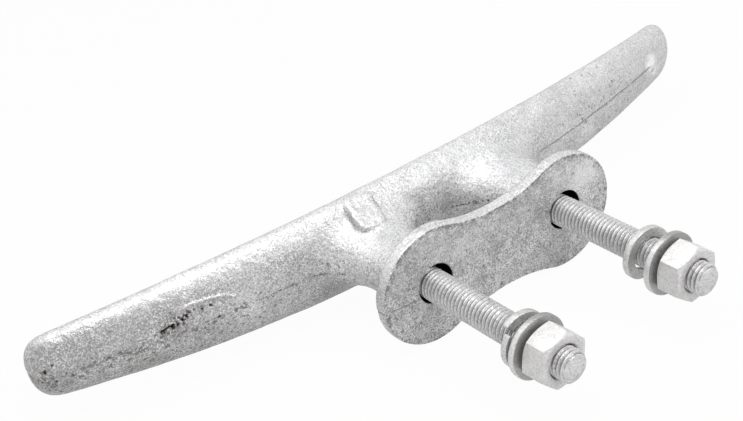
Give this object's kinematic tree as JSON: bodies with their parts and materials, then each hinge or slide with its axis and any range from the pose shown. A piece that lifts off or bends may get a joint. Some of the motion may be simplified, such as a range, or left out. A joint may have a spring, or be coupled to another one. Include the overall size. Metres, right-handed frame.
{
  "type": "mooring cleat",
  "caption": "Horned mooring cleat cast in one piece on a dog-bone foot, held from behind by studs with spring washers, flat washers and hexagon nuts.",
  "frame": {"origin": "middle of the foot's flat underside, halfway between the studs", "axes": "+X along the horn from the near tip to the far tip, +Z from the foot up to the horn; the studs point along -Z"},
  "size_m": [0.27, 0.039, 0.1206],
  "materials": {
    "galvanised_casting": "hot-dip galvanised, rough as cast",
    "galvanised_stud": "hot-dip galvanised, threaded",
    "galvanised_nut": "hot-dip galvanised, satin",
    "galvanised_washer": "hot-dip galvanised, satin",
    "spring_steel": "galvanised spring steel, satin"
  },
  "bodies": {
    "cleat": {"casting": "galvanised_casting", "near_stud": "galvanised_stud", "far_stud": "galvanised_stud"},
    "near_washer": {"near_flat_washer": "galvanised_washer"},
    "near_spring": {"near_spring_washer": "spring_steel"},
    "near_nut": {"near_nut": "galvanised_nut"},
    "far_washer": {"far_flat_washer": "galvanised_washer"},
    "far_spring": {"far_spring_washer": "spring_steel"},
    "far_nut": {"far_nut": "galvanised_nut"}
  },
  "joints": [
    {"name": "near_nut_travel", "type": "slide", "parent": "cleat", "child": "near_washer", "axis": [0, 0, 1], "range_m": [-0.0043, 0.0381]},
    {"name": "near_nut_turn", "type": "hinge", "parent": "near_washer", "child": "near_nut", "pos_m": [-0.0268, 0, -0.0501], "axis": [0, 0, 1], "range_deg": [-1037, 9149]},
    {"name": "near_spring_slide", "type": "slide", "parent": "cleat", "child": "near_spring", "axis": [0, 0, 1], "range_m": [-0.0041, 0.03621]},
    {"name": "far_nut_travel", "type": "slide", "parent": "cleat", "child": "far_washer", "axis": [0, 0, 1], "range_m": [-0.0043, 0.0381]},
    {"name": "far_nut_turn", "type": "hinge", "parent": "far_washer", "child": "far_nut", "pos_m": [0.0268, 0, -0.0501], "axis": [0, 0, 1], "range_deg": [-1037, 9149]},
    {"name": "far_spring_slide", "type": "slide", "parent": "cleat", "child": "far_spring", "axis": [0, 0, 1], "range_m": [-0.00364, 0.03221]}
  ],
  "couplings": [
    {"joint": "near_nut_turn", "follows": "near_nut_travel", "rad_per_m": 4188.8},
    {"joint": "near_spring_slide", "follows": "near_nut_travel", "ratio": 0.95013},
    {"joint": "far_nut_turn", "follows": "far_nut_travel", "rad_per_m": 4188.8},
    {"joint": "far_spring_slide", "follows": "far_nut_travel", "ratio": 0.84514}
  ]
}
